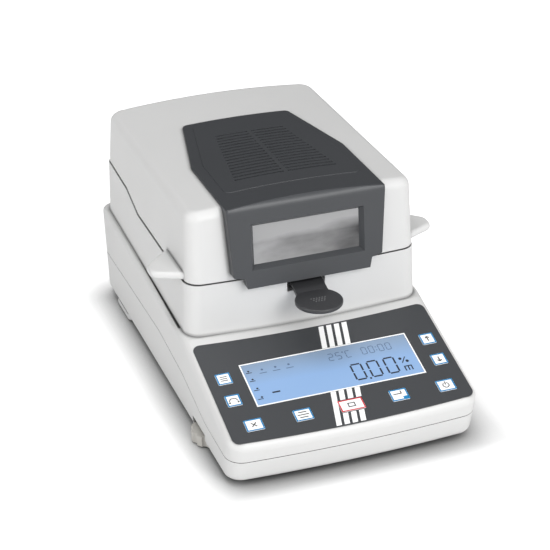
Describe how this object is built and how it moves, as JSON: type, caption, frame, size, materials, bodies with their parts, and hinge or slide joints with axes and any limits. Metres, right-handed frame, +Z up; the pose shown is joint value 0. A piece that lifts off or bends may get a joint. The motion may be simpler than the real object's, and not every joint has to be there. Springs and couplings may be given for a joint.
{
  "type": "moisture analyzer",
  "caption": "Bench moisture analyzer: sloping key panel with display, heated sample chamber with weighing pan, hinged halogen lid with window, screw feet.",
  "frame": {"origin": "on the table, under the middle of the object's box", "axes": "+X to the right seen from the front, +Y to the back, +Z up; the key panel faces -Y"},
  "size_m": [0.24, 0.368, 0.1865],
  "materials": {
    "housing_white": "fine moulded texture",
    "cover_charcoal": "fine moulded texture",
    "overlay_grey": "printed polyester foil",
    "key_white": "printed",
    "lens_clear": "clear",
    "lcd": "backlit",
    "board_green": "solder mask",
    "steel": "brushed",
    "aluminium": "satin",
    "handle_black": "satin",
    "transformer": "varnished laminations",
    "socket_black": "satin",
    "zinc": "plated",
    "rubber_grey": "matt",
    "foot_cream": "moulded",
    "window_glass": "clear",
    "gasket_black": "matt",
    "mirror": "polished",
    "quartz": "clear",
    "ceramic_white": "unglazed",
    "vial": "liquid filled"
  },
  "bodies": {
    "base": {"bottom_shell": "housing_white", "top_shell": "housing_white", "panel_overlay": "overlay_grey", "display_window": "lens_clear", "lcd_module": "lcd", "keypad_board": "board_green", "chamber_ring": "steel", "chamber_floor": "steel", "draft_shield": "aluminium", "pan_lifter": "handle_black", "load_cell": "aluminium", "load_cell_mount": "aluminium", "main_board": "board_green", "power_supply": "transformer", "level_vial": "vial", "level_ring": "socket_black", "rear_feet": "rubber_grey", "inlet_socket": "socket_black", "fuse_drawer": "socket_black", "serial_port": "zinc", "port_screws": "zinc", "housing_screws": "zinc", "hinge_brackets": "zinc", "hinge_pins": "zinc"},
    "lid": {"lid_shell": "housing_white", "lid_cover": "cover_charcoal", "window_glass": "window_glass", "window_frame": "gasket_black", "lid_base_plate": "steel", "heater_hood": "steel", "reflector": "mirror", "halogen_lamp": "quartz", "lamp_holders": "ceramic_white", "lamp_glass": "quartz", "glass_clips": "steel", "temperature_probe": "steel", "lid_screws": "zinc", "hinge_leaves": "zinc"},
    "weighing_pan": {"pan_carrier": "steel", "sample_pan": "aluminium"},
    "key_menu": {"key_menu": "key_white"},
    "key_test": {"key_test": "key_white"},
    "key_up": {"key_up": "key_white"},
    "key_down": {"key_down": "key_white"},
    "key_escape": {"key_escape": "key_white"},
    "key_start": {"key_start": "key_white"},
    "key_tare": {"key_tare": "key_white"},
    "key_enter": {"key_enter": "key_white"},
    "key_power": {"key_power": "key_white"},
    "foot_pad_left": {"foot_pad_left": "rubber_grey"},
    "foot_wheel_left": {"foot_wheel_left": "foot_cream"},
    "foot_pad_right": {"foot_pad_right": "rubber_grey"},
    "foot_wheel_right": {"foot_wheel_right": "foot_cream"}
  },
  "joints": [
    {"name": "lid_hinge", "type": "hinge", "parent": "base", "child": "lid", "pos_m": [0, 0.18, 0.134], "axis": [-1, 0, 0], "range_deg": [0, 78]},
    {"name": "pan_travel", "type": "slide", "parent": "base", "child": "weighing_pan", "axis": [0, 0, -1], "range_m": [0, 0.0003], "stiffness_N_per_m": 5000, "springref_m": -0.0001},
    {"name": "key_menu_press", "type": "slide", "parent": "base", "child": "key_menu", "axis": [0, 0.2756, -0.9613], "range_m": [0, 0.0003], "stiffness_N_per_m": 400},
    {"name": "key_test_press", "type": "slide", "parent": "base", "child": "key_test", "axis": [0, 0.2756, -0.9613], "range_m": [0, 0.0003], "stiffness_N_per_m": 400},
    {"name": "key_up_press", "type": "slide", "parent": "base", "child": "key_up", "axis": [0, 0.2756, -0.9613], "range_m": [0, 0.0003], "stiffness_N_per_m": 400},
    {"name": "key_down_press", "type": "slide", "parent": "base", "child": "key_down", "axis": [0, 0.2756, -0.9613], "range_m": [0, 0.0003], "stiffness_N_per_m": 400},
    {"name": "key_escape_press", "type": "slide", "parent": "base", "child": "key_escape", "axis": [0, 0.2756, -0.9613], "range_m": [0, 0.0003], "stiffness_N_per_m": 400},
    {"name": "key_start_press", "type": "slide", "parent": "base", "child": "key_start", "axis": [0, 0.2756, -0.9613], "range_m": [0, 0.0003], "stiffness_N_per_m": 400},
    {"name": "key_tare_press", "type": "slide", "parent": "base", "child": "key_tare", "axis": [0, 0.2756, -0.9613], "range_m": [0, 0.0003], "stiffness_N_per_m": 400},
    {"name": "key_enter_press", "type": "slide", "parent": "base", "child": "key_enter", "axis": [0, 0.2756, -0.9613], "range_m": [0, 0.0003], "stiffness_N_per_m": 400},
    {"name": "key_power_press", "type": "slide", "parent": "base", "child": "key_power", "axis": [0, 0.2756, -0.9613], "range_m": [0, 0.0003], "stiffness_N_per_m": 400},
    {"name": "foot_left_height", "type": "slide", "parent": "base", "child": "foot_pad_left", "axis": [0, 0, -1], "range_m": [-0.003, 0.006]},
    {"name": "foot_left_turn", "type": "hinge", "parent": "foot_pad_left", "child": "foot_wheel_left", "pos_m": [-0.092, -0.0985, 0.005], "axis": [0, 0, -1], "range_deg": [-865, 1729]},
    {"name": "foot_right_height", "type": "slide", "parent": "base", "child": "foot_pad_right", "axis": [0, 0, -1], "range_m": [-0.003, 0.006]},
    {"name": "foot_right_turn", "type": "hinge", "parent": "foot_pad_right", "child": "foot_wheel_right", "pos_m": [0.092, -0.0985, 0.005], "axis": [0, 0, -1], "range_deg": [-865, 1729]}
  ],
  "couplings": [
    {"joint": "foot_left_turn", "follows": "foot_left_height", "rad_per_m": 5026.5},
    {"joint": "foot_right_turn", "follows": "foot_right_height", "rad_per_m": 5026.5}
  ]
}
